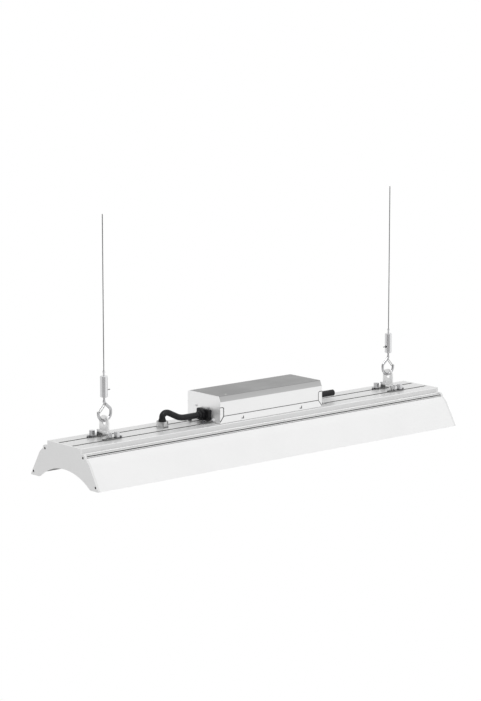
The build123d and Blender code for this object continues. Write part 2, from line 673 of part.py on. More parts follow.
# Inlet: a round shell with a socket, an insert and its pins
inlet_start = BOX_X1 + ENTRY_T
inlet_face = Plane(origin=(inlet_start, ENTRY_Y, ENTRY_Z), x_dir=(0, 1, 0), z_dir=(1, 0, 0))
inlet_length = INLET_END_X - inlet_start
with BuildPart() as inlet_shell:
    with BuildSketch(inlet_face):
        Circle(INLET_R)
    extrude(amount=inlet_length)
    chamfer(inlet_shell.faces().sort_by(Axis.X)[-1].edges(), 0.8)
    with BuildSketch(inlet_face.offset(inlet_length)):
        Circle(INLET_R - INLET_WALL)
    extrude(amount=-INLET_SOCKET, mode=Mode.SUBTRACT)
write(inlet_shell.part, "inlet_shell")

pin_face = inlet_face.offset(inlet_length - INLET_SOCKET)
with BuildPart() as inlet_pins:
    with BuildSketch(pin_face):
        with PolarLocations(INLET_PIN_PCD / 2, INLET_PIN_COUNT):
            Circle(INLET_PIN_R)
    extrude(amount=INLET_PIN_LENGTH)
write(inlet_pins.part, "inlet_pins")


# Gland on the body: a hex base, a hex dome nut and a rubber seal
gland_top = HEIGHT + GLAND_BASE_H + GLAND_NUT_H
with BuildPart() as body_gland_base:
    with BuildSketch(Plane((GLAND_X, 0, HEIGHT))):
        RegularPolygon(GLAND_BASE_AF / 2, 6, major_radius=False)
    extrude(amount=GLAND_BASE_H)
    with BuildSketch(Plane((GLAND_X, 0, HEIGHT))):
        Circle(HUB_R - 1 - BOLT_GAP)
    extrude(amount=SEAT_GAP - TOP_PLATE)
    with Locations((GLAND_X, 0, HEIGHT + GLAND_BASE_H)):
        Hole(CABLE_R + BOLT_GAP)
write(body_gland_base.part, "body_gland_base")

with BuildPart() as body_gland_nut:
    with BuildSketch(Plane((GLAND_X, 0, HEIGHT + GLAND_BASE_H))):
        RegularPolygon(GLAND_NUT_AF / 2, 6, major_radius=False)
    extrude(amount=GLAND_NUT_H)
    with BuildSketch(Plane((GLAND_X, 0, HEIGHT + GLAND_BASE_H))):
        Circle(GLAND_NUT_AF / 2 * HEX_RATIO - 0.6)
    extrude(amount=GLAND_NUT_H, taper=6, mode=Mode.INTERSECT)
    with Locations((GLAND_X, 0, gland_top)):
        Hole(CABLE_R + GLAND_SEAL_T)
write(body_gland_nut.part, "body_gland_nut")

# The seal stands out of the nut as a collar that narrows to the flex
seal_z0 = HEIGHT + GLAND_BASE_H
seal_r = CABLE_R + GLAND_SEAL_T - PIN_GAP
with BuildPart() as body_gland_seal:
    with BuildSketch(Plane.XZ):
        with BuildLine():
            Polyline((CABLE_R + PIN_GAP, seal_z0), (seal_r, seal_z0), (seal_r, gland_top + 2),
                     (CABLE_R + 0.6, gland_top + GLAND_SEAL_RISE),
                     (CABLE_R + PIN_GAP, gland_top + GLAND_SEAL_RISE), close=True)
        make_face()
    revolve(axis=Axis.Z)
    body_gland_seal.part.position = (GLAND_X, 0, 0)
write(body_gland_seal.part, "body_gland_seal")

with BuildPart() as link_flex:
    with BuildLine():
        route = FilletPolyline(*FLEX_ROUTE, radius=FLEX_RADII)
    with BuildSketch(Plane(origin=route @ 0, z_dir=route % 0)):
        Circle(CABLE_R)
    sweep()
write(link_flex.part, "link_flex")


# Hammer head bolts in the slots, with their flanged nuts, as one group for each joint
hang_sides = (("left", -HANG_X), ("right", HANG_X))
hanger_places = {side: [(x - s * SLOT_BOLT_X, s * SLOT_Y) for s in (-1, 1)] for side, x in hang_sides}
screw_spots = {side: [(x + s * SLOT_SCREW_X, s * SLOT_Y) for s in (-1, 1)] for side, x in hang_sides}
stop_spots = [(x - s * STOP_X, s * SLOT_Y) for s in (-1, 1) for side, x in hang_sides]
bolt_groups = [("box_foot", "", foot_places, HEIGHT + BOX_T, FOOT_BOLT_R, FOOT_BOLT_TOP,
                FOOT_NUT_AF, FOOT_NUT_H, FOOT_NUT_FLANGE_R)]
for side, places in hanger_places.items():
    bolt_groups.append(("hanger", f"_{side}", places, HEIGHT + BRACKET_T, SLOT_BOLT_R, SLOT_BOLT_TOP,
                        NUT_AF, NUT_H, NUT_FLANGE_R))
for group, ending, places, seat_z, radius, top, nut_af, nut_h, flange_r in bolt_groups:
    with BuildPart() as slot_bolts:
        with BuildSketch(Plane.XY.offset(HEIGHT - SLOT_LIP - SLOT_HEAD_H)):
            with Locations(places):
                Rectangle(SLOT_WIDTH - 1, 2 * radius)
        extrude(amount=SLOT_HEAD_H)
        with BuildSketch(Plane.XY.offset(HEIGHT - SLOT_LIP)):
            with Locations(places):
                Circle(radius)
        extrude(amount=top - HEIGHT + SLOT_LIP)
    write(slot_bolts.part, f"{group}_bolts{ending}")
    with BuildPart() as flange_nuts:
        with BuildSketch(Plane.XY.offset(seat_z)):
            with Locations(places):
                Circle(flange_r)
        extrude(amount=NUT_FLANGE_H)
        with BuildSketch(Plane.XY.offset(seat_z)):
            with Locations(places):
                RegularPolygon(nut_af / 2, 6, major_radius=False)
        extrude(amount=nut_h)
        with BuildSketch(Plane.XY.offset(seat_z)):
            with Locations(places):
                Circle(radius + PIN_GAP)
        extrude(amount=nut_h, mode=Mode.SUBTRACT)
    write(flange_nuts.part, f"{group}_nuts{ending}")


# Flat head screws with their slot nuts, one to each foot of a hanger
for side, spots in screw_spots.items():
    with BuildPart() as slot_nuts:
        with BuildSketch(Plane.XY.offset(HEIGHT - SLOT_LIP - SLOT_HEAD_H)):
            with Locations(spots):
                Rectangle(3 * SLOT_SCREW_R, SLOT_WIDTH - 1)
                Circle(SLOT_SCREW_R + PIN_GAP, mode=Mode.SUBTRACT)
        extrude(amount=SLOT_HEAD_H)
    write(slot_nuts.part, f"hanger_slot_nuts_{side}")
    with BuildPart() as slot_screws:
        with BuildSketch(Plane.XY.offset(SLOT_BOLT_TOP)):
            with Locations(spots):
                Circle(SLOT_SCREW_HEAD_R)
        extrude(amount=-SLOT_SCREW_HEAD_H)
        with BuildSketch(Plane.XY.offset(SLOT_BOLT_TOP)):
            with Locations(spots):
                Circle(SLOT_SCREW_R)
        extrude(amount=SLOT_FLOOR_Z + SEAT_GAP - SLOT_BOLT_TOP)
    write(slot_screws.part, f"hanger_screws_{side}")

# Stops in the slots beyond the hangers' feet
with BuildPart() as slot_stops:
    with BuildSketch(Plane.XY.offset(HEIGHT - SLOT_LIP - SLOT_HEAD_H)):
        with Locations(stop_spots):
            Rectangle(2 * STOP_R, SLOT_WIDTH - 1)
    extrude(amount=SLOT_HEAD_H)
    with BuildSketch(Plane.XY.offset(HEIGHT - SLOT_LIP)):
        with Locations(stop_spots):
            Circle(STOP_R)
    extrude(amount=STOP_TOP - HEIGHT + SLOT_LIP)
write(slot_stops.part, "slot_stops")


# Suspensions: the right one is the left one turned half round
for side, place, turn in (("left", -HANG_X, 1), ("right", HANG_X, -1)):
    front = side_plane(place, turn)
    across = Plane(origin=(place, 0, 0), x_dir=(0, 1, 0), z_dir=(1, 0, 0))

    with BuildPart() as bracket:
        riser = SLOT_Y - BRACKET_FOOT[1] / 2
        with BuildSketch(across.offset(-BRACKET_NECK / 2)):
            with BuildLine():
                Polyline((-riser - 2, HEIGHT), (-riser, HEIGHT), (-riser + 1, BRACKET_RISE - BRACKET_T),
                         (riser - 1, BRACKET_RISE - BRACKET_T), (riser, HEIGHT), (riser + 2, HEIGHT))
                offset(amount=BRACKET_T, side=Side.LEFT)
            make_face()
        extrude(amount=BRACKET_NECK)
        with BuildSketch(Plane((place, 0, HEIGHT))):
            for s in (-1, 1):
                with Locations((0, s * SLOT_Y)):
                    RectangleRounded(*BRACKET_FOOT, 3)
        extrude(amount=BRACKET_T)
        with BuildSketch(across.offset(-TAB_T / 2)):
            with BuildLine():
                Polyline((-TAB_WIDTH / 2, TAB_TOP - TAB_WIDTH / 2), (-TAB_WIDTH / 2, BRACKET_RISE - 1),
                         (TAB_WIDTH / 2, BRACKET_RISE - 1), (TAB_WIDTH / 2, TAB_TOP - TAB_WIDTH / 2))
                ThreePointArc((TAB_WIDTH / 2, TAB_TOP - TAB_WIDTH / 2), (0, TAB_TOP),
                              (-TAB_WIDTH / 2, TAB_TOP - TAB_WIDTH / 2))
            make_face()
            hook_top = HOOK_CENTRE[1] - HOOK_BEND + HOOK_WIDE
            with Locations((0, hook_top + SEAT_GAP - TAB_HOLE_R)):
                Circle(TAB_HOLE_R, mode=Mode.SUBTRACT)
        extrude(amount=TAB_T)
        with Locations([(x, y, HEIGHT + BRACKET_T) for x, y in hanger_places[side]]):
            Hole(SLOT_BOLT_R + BOLT_GAP)
        with Locations([(x, y, HEIGHT + BRACKET_T) for x, y in screw_spots[side]]):
            Hole(SLOT_SCREW_R + BOLT_GAP)
    write(bracket.part, f"hanger_bracket_{side}")

    # Snap hook: one bent bar with a threaded shank
    pivot_z = HOOK_NECK_Z - GATE_PIVOT_X * (HOOK_NECK_Z - HOOK_ELBOW_Z) / (HOOK_CENTRE[0] + HOOK_BEND)
    notch_angle = -degrees(atan2(GATE_PIVOT_X - GATE_END[0], pivot_z - GATE_END[1]))
    with BuildPart() as snap_hook:
        with BuildLine(front):
            tip = Line((HOOK_CENTRE[0] - HOOK_BEND, HOOK_TIP_Z), (HOOK_CENTRE[0] - HOOK_BEND, HOOK_CENTRE[1]))
            CenterArc(HOOK_CENTRE, HOOK_BEND, 180, 180)
            back_x = HOOK_CENTRE[0] + HOOK_BEND
            FilletPolyline((back_x, HOOK_CENTRE[1]), (back_x, HOOK_ELBOW_Z), (0, HOOK_NECK_Z),
                           (0, HOOK_NECK_Z + HOOK_COLLAR), radius=[9, 6])
        with BuildSketch(Plane(origin=front.from_local_coords((HOOK_CENTRE[0] - HOOK_BEND, HOOK_TIP_Z, 0)),
                               x_dir=(1, 0, 0), z_dir=(0, 0, -1))):
            Ellipse(HOOK_WIDE, HOOK_THICK)
        sweep()
        with BuildSketch(Plane((place, 0, HOOK_NECK_Z + HOOK_COLLAR - 1))):
            Circle(HOOK_SHANK_R)
        extrude(amount=HOOK_SHANK_TOP - HOOK_NECK_Z - HOOK_COLLAR + 1)
        with BuildSketch(front.offset(-HOOK_THICK)):
            with Locations((GATE_PIVOT_X, pivot_z)):
                Circle(GATE_R + PIN_GAP)
            # Notch in the nose that takes the closed end of the gate
            with Locations(Location(GATE_END, notch_angle)):
                Circle(GATE_R + SEAT_GAP)
                Rectangle(2 * HOOK_WIDE, 2 * (GATE_R + SEAT_GAP), align=(Align.MIN, Align.CENTER))
        extrude(amount=2 * HOOK_THICK, mode=Mode.SUBTRACT)
    write(snap_hook.part, f"snap_hook_{side}")

    # Gate: a wire loop whose two ends meet inside the hook's pivot hole
    leg_y = HOOK_THICK + SEAT_GAP + GATE_R
    loop = [(GATE_PIVOT_X, pivot_z, -GATE_SPLIT / 2), (GATE_PIVOT_X, pivot_z, -leg_y),
            (*GATE_END, -leg_y), (*GATE_END, leg_y), (GATE_PIVOT_X, pivot_z, leg_y),
            (GATE_PIVOT_X, pivot_z, GATE_SPLIT / 2)]
    with BuildPart() as hook_gate:
        with BuildLine():
            gate_path = FilletPolyline(*[front.from_local_coords(p) for p in loop], radius=GATE_CORNER_R)
        with BuildSketch(Plane(origin=gate_path @ 0, z_dir=gate_path % 0)):
            Circle(GATE_R)
        sweep()
    write(hook_gate.part, f"hook_gate_{side}")

    # Gripper body, with the way through for the rope and its exit at the side
    grip_axis = Axis((place, 0, 0), (0, 0, 1))
    cap_z = GRIP_Z1 - GRIP_CAP_T
    with BuildPart() as gripper_body:
        with BuildSketch(front):
            with BuildLine():
                Polyline((HOOK_SHANK_R + PIN_GAP, GRIP_Z0), (GRIP_R - GRIP_CHAMFER, GRIP_Z0),
                         (GRIP_R, GRIP_Z0 + GRIP_CHAMFER), (GRIP_R, GRIP_Z1 - GRIP_CHAMFER),
                         (GRIP_R - GRIP_CHAMFER, GRIP_Z1), (GRIP_CAP_R + PIN_GAP, GRIP_Z1),
                         (GRIP_CAP_R + PIN_GAP, cap_z), (GRIP_BORE_R, cap_z), (GRIP_BORE_R, GRIP_BORE_Z),
                         (0, GRIP_BORE_Z), (0, HOOK_SHANK_TOP), (HOOK_SHANK_R + PIN_GAP, HOOK_SHANK_TOP),
                         close=True)
            make_face()
        revolve(axis=grip_axis)
        with BuildLine(front):
            FilletPolyline((0, GRIP_BORE_Z + 1), (0, ROPE_EXIT_Z), (GRIP_R + 1, ROPE_EXIT_Z), radius=ROPE_BEND)
        with BuildSketch(Plane((place, 0, GRIP_BORE_Z + 1), z_dir=(0, 0, -1))):
            Circle(EXIT_HOLE_R)
        sweep(mode=Mode.SUBTRACT)
        spot = Plane(origin=(place + turn * (GRIP_R - EXIT_SPOT_DEPTH), 0, ROPE_EXIT_Z), z_dir=(turn, 0, 0))
        with BuildSketch(spot):
            Circle(EXIT_SPOT_R)
        extrude(amount=EXIT_SPOT_DEPTH + 1, mode=Mode.SUBTRACT)
    write(gripper_body.part, f"gripper_body_{side}")

    with BuildPart() as gripper_cap:
        with BuildSketch(Plane((place, 0, cap_z))):
            Circle(GRIP_CAP_R)
            Circle(NOZZLE_NECK_R + PIN_GAP, mode=Mode.SUBTRACT)
        extrude(amount=GRIP_CAP_T)
    write(gripper_cap.part, f"gripper_cap_{side}")

    # Release nozzle: pressed in to free the rope
    head_top = cap_z - SLIDE_GAP
    with BuildPart() as release_nozzle:
        with BuildSketch(front):
            with BuildLine():
                Polyline((NOZZLE_BORE_R, NOZZLE_TOP), (NOZZLE_R - 0.5, NOZZLE_TOP), (NOZZLE_R, NOZZLE_TOP - 0.5),
                         (NOZZLE_R, NOZZLE_TOP - NOZZLE_H), (NOZZLE_NECK_R, NOZZLE_TOP - NOZZLE_H - 0.8),
                         (NOZZLE_NECK_R, head_top), (GRIP_BORE_R - PIN_GAP, head_top),
                         (GRIP_BORE_R - PIN_GAP, head_top - NOZZLE_HEAD_H),
                         (NOZZLE_BORE_R, head_top - NOZZLE_HEAD_H), close=True)
            make_face()
        revolve(axis=grip_axis)
    write(release_nozzle.part, f"release_nozzle_{side}")

    # Spring under the nozzle's head
    spring_height = head_top - NOZZLE_HEAD_H - GRIP_BORE_Z - 2 * SPRING_WIRE_R - 0.2
    with BuildPart() as grip_spring:
        with BuildLine():
            coil = Helix(spring_height / SPRING_TURNS, spring_height, SPRING_R,
                         center=(place, 0, GRIP_BORE_Z + SPRING_WIRE_R + 0.1))
        with BuildSketch(Plane(origin=coil @ 0, z_dir=coil % 0)):
            Circle(SPRING_WIRE_R)
        sweep()
    write(grip_spring.part, f"grip_spring_{side}")

    # The rope's held end, through the gripper and out at its side
    with BuildPart() as rope_end:
        with BuildLine(front):
            FilletPolyline((0, NOZZLE_TOP), (0, ROPE_EXIT_Z), (ROPE_TAIL_X, ROPE_EXIT_Z), radius=ROPE_BEND)
        with BuildSketch(Plane((place, 0, NOZZLE_TOP), z_dir=(0, 0, -1))):
            Circle(ROPE_R)
        sweep()
    write(rope_end.part, f"rope_end_{side}")

    # The taut rope above the gripper, one straight run
    with BuildPart() as wire_rope:
        with BuildSketch(Plane((place, 0, NOZZLE_TOP))):
            Circle(ROPE_R)
        extrude(amount=ROPE_TOP - NOZZLE_TOP)
    write(wire_rope.part, f"wire_rope_{side}")
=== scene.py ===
import bpy
import json
from math import cos, pi, radians, sin
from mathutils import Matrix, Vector


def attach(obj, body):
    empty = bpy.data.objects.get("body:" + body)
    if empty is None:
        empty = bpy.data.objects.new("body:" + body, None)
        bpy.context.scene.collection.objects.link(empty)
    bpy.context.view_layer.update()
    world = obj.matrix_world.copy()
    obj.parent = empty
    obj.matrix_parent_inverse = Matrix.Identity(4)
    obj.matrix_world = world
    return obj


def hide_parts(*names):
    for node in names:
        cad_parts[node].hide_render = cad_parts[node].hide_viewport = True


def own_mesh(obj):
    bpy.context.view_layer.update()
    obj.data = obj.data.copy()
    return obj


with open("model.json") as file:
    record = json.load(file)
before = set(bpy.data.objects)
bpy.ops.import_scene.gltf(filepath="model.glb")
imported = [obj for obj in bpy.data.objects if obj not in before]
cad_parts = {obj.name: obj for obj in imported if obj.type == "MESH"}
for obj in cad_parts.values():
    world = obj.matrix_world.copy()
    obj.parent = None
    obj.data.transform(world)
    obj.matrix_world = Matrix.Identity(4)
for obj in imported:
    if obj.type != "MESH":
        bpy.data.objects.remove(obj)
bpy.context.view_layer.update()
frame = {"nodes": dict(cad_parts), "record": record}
nodes = frame["nodes"]


scene = bpy.context.scene
scene.view_settings.view_transform = "Standard"

# Camera at the photograph's angle
cam_data = bpy.data.cameras.new("camera")
cam_data.sensor_width = 36.0
cam_data.lens = 128.2
camera = bpy.data.objects.new("camera", cam_data)
scene.collection.objects.link(camera)
camera.location = (-4.0972, -4.6708, 1.3279)
forward = Vector((0.64600, 0.74408, -0.17036))
camera.rotation_euler = forward.to_track_quat("-Z", "Y").to_euler()
scene.camera = camera

# Places and sizes from the part's source, in metres
BODY_TOP = 0.094
PORT_PLACE = (0.075, 0.0735)
WING_PORT_PLACE = (0.12258, 0.0097)
BOX_SEAM_Z = 0.1125
BOX_FACET_Z = 0.149
BOX_TOP = 0.163
BOX_GAP = 0.0009
TAB_WIDTH = 0.012
TAB_TOP = 0.135
TAB_CORNER = 0.003
LANCE_PLACES = (-0.084, 0.112)

# The two taut wire ropes, each of strands round a core
ROPE_X = 0.477
ROPE_Z0 = 0.2585
ROPE_Z1 = 0.637
ROPE_R = 0.0013
ROPE_CORE_R = ROPE_R * 0.42
STRAND_R = ROPE_R * 0.335
STRANDS = 6
STRAND_PITCH = 0.0125
STRAND_SIDES = 6
ROPE_STEPS = 170


# Materials, each made of procedural nodes in the object's own coordinates
class Shade:
    """One material with its main shader and a few helpers for its texture nodes."""

    def __init__(self, name, color, rough, metallic=0.0, inputs=None):
        self.mat = bpy.data.materials.new(name)
        self.mat.use_nodes = True
        self.tree = self.mat.node_tree
        self.bsdf = self.tree.nodes["Principled BSDF"]
        self.bsdf.inputs["Base Color"].default_value = (*color, 1)
        self.bsdf.inputs["Roughness"].default_value = rough
        self.bsdf.inputs["Metallic"].default_value = metallic
        for key, value in (inputs or {}).items():
            self.bsdf.inputs[key].default_value = value
        self.coords = self.tree.nodes.new("ShaderNodeTexCoord").outputs["Object"]
        self.normal = None

    def link(self, a, b):
        self.tree.links.new(a, b)

    def stretched(self, stretch):
        """The object's coordinates, scaled by axis."""
        mapping = self.tree.nodes.new("ShaderNodeMapping")
        mapping.inputs["Scale"].default_value = stretch
        self.link(self.coords, mapping.inputs["Vector"])
        return mapping.outputs["Vector"]

    def noise(self, scale, detail, stretch=(1, 1, 1)):
        """A noise of so many features to the metre."""
        tex = self.tree.nodes.new("ShaderNodeTexNoise")
        tex.inputs["Scale"].default_value = scale
        tex.inputs["Detail"].default_value = detail
        tex.inputs["Roughness"].default_value = 0.55
        self.link(self.stretched(stretch), tex.inputs["Vector"])
        return tex.outputs["Fac"]

    def ramp(self, fac, *stops):
        """A ramp of greys with stops of (place, level)."""
        node = self.tree.nodes.new("ShaderNodeValToRGB")
        elements = node.color_ramp.elements
        while len(elements) < len(stops):
            elements.new(0.5)
        for element, (place, level) in zip(elements, stops):
            element.position = place
            element.color = (level, level, level, 1)
        self.link(fac, node.inputs["Fac"])
        return node.outputs["Color"]

    def map_range(self, value, low, high, to_low=0.0, to_high=1.0):
        node = self.tree.nodes.new("ShaderNodeMapRange")
        for key, number in (("From Min", low), ("From Max", high), ("To Min", to_low), ("To Max", to_high)):
            node.inputs[key].default_value = number
        self.link(value, node.inputs["Value"])
        return node.outputs["Result"]

    def axis(self, which):
        """One of the object's coordinates, X, Y or Z."""
        node = self.tree.nodes.new("ShaderNodeSeparateXYZ")
        self.link(self.coords, node.inputs["Vector"])
        return node.outputs[which]

    def math(self, operation, a, b=0.0):
        """One sum on two values, each a socket or a number."""
        node = self.tree.nodes.new("ShaderNodeMath")
        node.operation = operation
        for socket, value in zip(node.inputs, (a, b)):
            if isinstance(value, bpy.types.NodeSocket):
                self.link(value, socket)
            else:
                socket.default_value = value
        return node.outputs["Value"]

    def beyond(self, value, place, soft=0.0002):
        """One past the place and its soft edge, nought short of it."""
        return self.map_range(value, place, place + soft)

    def short_of(self, value, place, soft=0.0002):
        """One short of the place, nought past it and its soft edge."""
        return self.map_range(value, place, place + soft, 1.0, 0.0)

    def both(self, a, b):
        return self.math("MULTIPLY", a, b)

    def either(self, a, b):
        return self.math("MAXIMUM", a, b)

    def within(self, value, low, high, soft=0.0001):
        """One where the value lies between low and high, nought elsewhere."""
        return self.both(self.beyond(value, low - soft, soft), self.short_of(value, high, soft))

    def stroke(self, a, b, start, end, half):
        """One on a straight line between two places in the plane of two coordinates."""
        run = (end[0] - start[0], end[1] - start[1])
        length = (run[0] ** 2 + run[1] ** 2) ** 0.5
        da = self.math("SUBTRACT", a, start[0])
        db = self.math("SUBTRACT", b, start[1])
        ahead = self.math("ADD", self.math("MULTIPLY", da, run[0] / length),
                          self.math("MULTIPLY", db, run[1] / length))
        sideways = self.math("SUBTRACT", self.math("MULTIPLY", da, run[1] / length),
                             self.math("MULTIPLY", db, run[0] / length))
        return self.both(self.within(ahead, -half, length + half),
                         self.short_of(self.math("ABSOLUTE", sideways), half, 0.0001))

    def away(self, a, a0, b, b0):
        """Distance from the place (a0, b0) in the plane of two coordinates."""
        da = self.math("SUBTRACT", a, a0)
        db = self.math("SUBTRACT", b, b0)
        squares = self.math("ADD", self.math("MULTIPLY", da, da), self.math("MULTIPLY", db, db))
        return self.math("SQRT", squares)

    def mix(self, fac, a, b):
        """The first colour where the factor is nought, the second where it is one."""
        node = self.tree.nodes.new("ShaderNodeMix")
        node.data_type = "RGBA"
        for socket, value in ((node.inputs[0], fac), (node.inputs[6], a), (node.inputs[7], b)):
            if isinstance(value, bpy.types.NodeSocket):
                self.link(value, socket)
            else:
                socket.default_value = (*value, 1) if isinstance(value, tuple) else value
        return node.outputs[2]

    def bump(self, height, distance, strength):
        """Another layer of relief, in metres at full height."""
        node = self.tree.nodes.new("ShaderNodeBump")
        node.inputs["Strength"].default_value = strength
        node.inputs["Distance"].default_value = distance
        self.link(height, node.inputs["Height"])
        if self.normal is not None:
            self.link(self.normal, node.inputs["Normal"])
        self.normal = node.outputs["Normal"]
        self.link(self.normal, self.bsdf.inputs["Normal"])

    def vary_rough(self, fac, low, high):
        self.link(self.map_range(fac, 0.3, 0.7, low, high), self.bsdf.inputs["Roughness"])

    def cloudy(self, dark, light, scale=9, high=0.65):
        """A soft drift between two colours."""
        return self.mix(self.ramp(self.noise(scale, 3), (0.35, 0.0), (high, 1.0)), dark, light)

    def tint(self, color):
        self.link(color, self.bsdf.inputs["Base Color"])


def grey(level):
    return (level, level, level)


def powder_coat(name, color, rough=0.42, drawn=False, metallic=0.0, peel=0.00006):
    """Satin powder coat: a fine orange peel, and die lines under it on an extrusion."""
    s = Shade(name, color, rough, metallic, inputs={"Coat Weight": 0.08})
    s.bump(s.noise(700, 3), peel, 0.5)
    if drawn:
        s.bump(s.noise(60, 2, (0.05, 30, 30)), 0.00004, 0.4)
    s.vary_rough(s.noise(9, 3), rough - 0.05, rough + 0.06)
    s.tint(s.cloudy(tuple(c * 0.975 for c in color), color))
    return s


def metal(name, color, rough, grain=(1, 1, 1), mottle=0.12):
    """Plated or plain metal with a soft mottle and a fine grain along one axis."""
    s = Shade(name, color, rough, 1.0)
    fine = s.noise(260, 5, grain)
    s.bump(fine, 0.00002, 0.6)
    s.vary_rough(fine, rough - 0.06, rough + 0.1)
    s.tint(s.cloudy(tuple(c * (1 - mottle) for c in color), color, 120, 0.7))
    return s


def moulded(name, color, rough, grain=2400, relief=0.00005, specular=0.28):
    """Moulded plastic or rubber with a fine sparked grain."""
    s = Shade(name, color, rough, inputs={"Specular IOR Level": specular})
    fine = s.noise(grain, 3)
    s.bump(fine, relief, 0.7)
    s.vary_rough(s.noise(60, 3), rough - 0.06, rough + 0.08)
    light = tuple(min(1, c * 1.5 + 0.004) for c in color)
    s.tint(s.mix(s.ramp(s.noise(35, 4), (0.4, 0.0), (0.75, 1.0)), color, light))
    return s


shades = {
    "cap_white": powder_coat("cap_powder_coat", grey(0.72)),
    "driver_silver": metal("driver_case", (0.62, 0.62, 0.63), 0.38, (1, 40, 40)),
    "moulded_black": moulded("black_nylon", (0.007, 0.007, 0.008), 0.42),
    "pin_brass": metal("brass", (0.62, 0.48, 0.22), 0.28),
    "seal_rubber": moulded("seal_rubber", grey(0.008), 0.6),
    "flex_rubber": moulded("flex_sheath", (0.008, 0.008, 0.009), 0.48, 1500),
    "hook_steel": metal("hook_nickel", (0.54, 0.54, 0.55), 0.22, mottle=0.06),
    "spring_steel": metal("spring_wire", grey(0.36), 0.28),
    "rope_steel": metal("rope_wire", grey(0.30), 0.38),
}


def body_shade():
    """Body extrusion: pale outside; painted shade in the slots, ports and gaps beside the wings' lips,
    painted light on top and corners.
    """
    slot_sides = (0.0190, 0.0340)
    slot_dark_z = BODY_TOP - 0.0006
    port_dark_r = 0.0047
    lip_gap_sides = (0.0772, 0.0820)
    lip_gap_heights = (0.0630, 0.0728)
    upper_corner_place = (0.0634, 0.0925)
    ledge_corner_y = 0.0702
    ledge_corner_heights = (0.0804, 0.0825)
    s = powder_coat("body_powder_coat", grey(0.68), 0.36, drawn=True, metallic=0.3)
    aside = s.math("ABSOLUTE", s.axis("Y"))
    height = s.axis("Z")
    # Where painted shade goes: the slots, the ports and the gaps beside the wings' lips
    in_slot = s.both(s.short_of(height, slot_dark_z, 0.0005), s.within(aside, *slot_sides))
    in_port = s.short_of(s.away(aside, PORT_PLACE[0], height, PORT_PLACE[1]), port_dark_r, 0.0005)
    in_lip_gap = s.both(s.within(aside, *lip_gap_sides), s.within(height, *lip_gap_heights))
    coat = s.cloudy(grey(0.66), grey(0.68))
    # Painted light: the top a little lighter than the sides
    coat = s.mix(s.beyond(height, BODY_TOP - 0.0002, 0.0001), coat, grey(0.71))
    # Painted highlights along the two long corners on each side
    upper_corner = s.both(s.beyond(aside, upper_corner_place[0]), s.beyond(height, upper_corner_place[1]))
    ledge_corner = s.both(s.beyond(aside, ledge_corner_y), s.within(height, *ledge_corner_heights))
    coat = s.mix(s.either(upper_corner, ledge_corner), coat, grey(0.88))
    # Painted shade in the slots, ports and lip gaps
    s.tint(s.mix(s.either(s.either(in_slot, in_port), in_lip_gap), coat, grey(0.05)))
    return s


def screw_shade():
    """Bright zinc, with pale heads on the end caps' screws, painted shade in and round their key recesses,
    and painted shade low down.
    """
    head_x = 0.5970
    recess_r = 0.0030
    low_heights = (0.0850, 0.0984)
    foot_bolts_mid_x = 0.010
    foot_bolts_reach = (0.1900, 0.2070)
    s = metal("bright_zinc", (0.66, 0.66, 0.67), 0.20)
    reach = s.math("ABSOLUTE", s.axis("X"))
    aside = s.math("ABSOLUTE", s.axis("Y"))
    height = s.axis("Z")
    nearest = s.math("MINIMUM", s.away(aside, PORT_PLACE[0], height, PORT_PLACE[1]),
                     s.away(aside, WING_PORT_PLACE[0], height, WING_PORT_PLACE[1]))
    # Painted shade in and round the key recess of each cap screw's head
    recess = s.short_of(nearest, recess_r, 0.0003)
    head = s.beyond(reach, head_x, 0.0001)
    # Painted shade low down by the body's top, and on the foot bolts and nuts of the box
    zinc_and_shade = s.mix(s.within(height, *low_heights), (0.66, 0.66, 0.67), (0.20, 0.20, 0.21))
    from_box = s.math("ABSOLUTE", s.math("SUBTRACT", s.axis("X"), foot_bolts_mid_x))
    zinc_and_shade = s.mix(s.within(from_box, *foot_bolts_reach), zinc_and_shade, (0.16, 0.16, 0.17))
    s.tint(s.mix(head, zinc_and_shade, s.mix(recess, grey(0.94), grey(0.01))))
    s.link(s.map_range(reach, head_x, head_x + 0.0001, 1.0, 0.15), s.bsdf.inputs["Metallic"])
    return s


def gland_shade():
    """Gland on the body: nickel, with painted shade at the foot of its nut and round its rim."""
    nut_foot_heights = (0.0985, 0.0996)
    rim_z = 0.1108
    s = metal("nickel_gland", grey(0.62), 0.16)
    height = s.axis("Z")
    # Painted shade at the foot of the nut and round the rim
    shaded_rims = s.either(s.within(height, *nut_foot_heights), s.beyond(height, rim_z))
    s.tint(s.mix(shaded_rims, s.cloudy(grey(0.55), grey(0.62), 120, 0.7), grey(0.25)))
    return s


def gripper_shade():
    """Gripper: polished nickel, with painted shade inside the hole where the rope comes out."""
    hole_depth_r = 0.0088
    hole_heights = (0.2070, 0.2150)
    s = metal("gripper_nickel", (0.78, 0.78, 0.79), 0.17, (1, 1, 25), mottle=0.05)
    from_axis = s.away(s.math("ABSOLUTE", s.axis("X")), ROPE_X, s.axis("Y"), 0.0)
    # Painted shade inside the rope's hole
    in_hole = s.both(s.short_of(from_axis, hole_depth_r, 0.0003), s.within(s.axis("Z"), *hole_heights))
    s.tint(s.mix(in_hole, (0.78, 0.78, 0.79), grey(0.04)))
    return s


